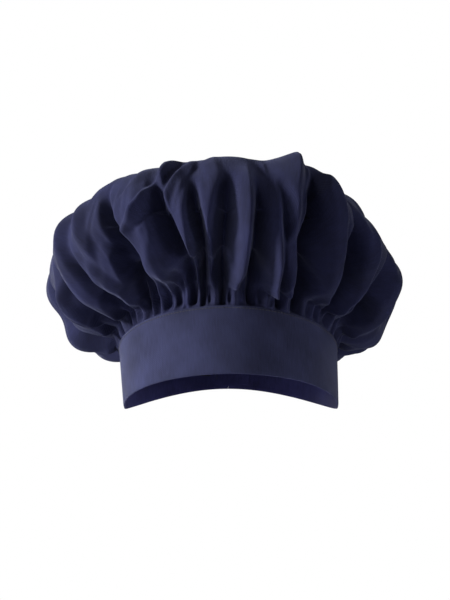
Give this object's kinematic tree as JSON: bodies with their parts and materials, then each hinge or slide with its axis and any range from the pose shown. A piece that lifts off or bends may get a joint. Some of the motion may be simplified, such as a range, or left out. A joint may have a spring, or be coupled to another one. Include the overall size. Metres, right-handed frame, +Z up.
{
  "type": "chef toque",
  "caption": "Soft mushroom-shaped chef hat: a wide gathered cloth crown on a stiffened oval headband, with a slit and a hook-and-loop tab at the nape.",
  "frame": {"origin": "centre of the head opening, in the plane of the rim's level front edge", "axes": "+Z up through the crown, the wearer looks along -Y, +X is the wearer's left side"},
  "size_m": [0.3, 0.298, 0.1866],
  "materials": {
    "crown_cloth": "navy polyester-cotton twill, matt",
    "band_cloth": "navy polyester-cotton twill, pressed flat",
    "lining_cloth": "deeper navy twill, smooth",
    "interfacing": "white stiff non-woven",
    "binding_tape": "navy folded bias tape",
    "loop_tape": "dark brushed nylon loops",
    "hook_tape": "dark nylon hooks",
    "label": "navy woven satin tape, blank",
    "thread": "navy polyester sewing thread"
  },
  "bodies": {
    "hat": {"crown": "crown_cloth", "band_outer": "band_cloth", "band_facing": "lining_cloth", "band_interfacing": "interfacing", "band_topstitch": "thread", "band_bobbin_stitch": "thread", "slit_binding_left": "binding_tape", "slit_binding_right": "binding_tape", "slit_stitches_left": "thread", "slit_stitches_right": "thread", "closure_tab_base": "band_cloth", "tab_base_stitches": "thread", "loop_tape": "loop_tape", "loop_tape_stitches": "thread", "size_label": "label", "label_stitches": "thread", "underlap": "lining_cloth", "underlap_stitches": "thread"},
    "tab": {"closure_tab": "band_cloth", "tab_edge_stitches": "thread", "hook_tape": "hook_tape", "hook_tape_stitches": "thread"}
  },
  "joints": [
    {"name": "closure_tab_peel", "type": "hinge", "parent": "hat", "child": "tab", "pos_m": [-0.01785, 0.09976, 0.057], "axis": [0, 0, 1], "range_deg": [0, 150]}
  ]
}
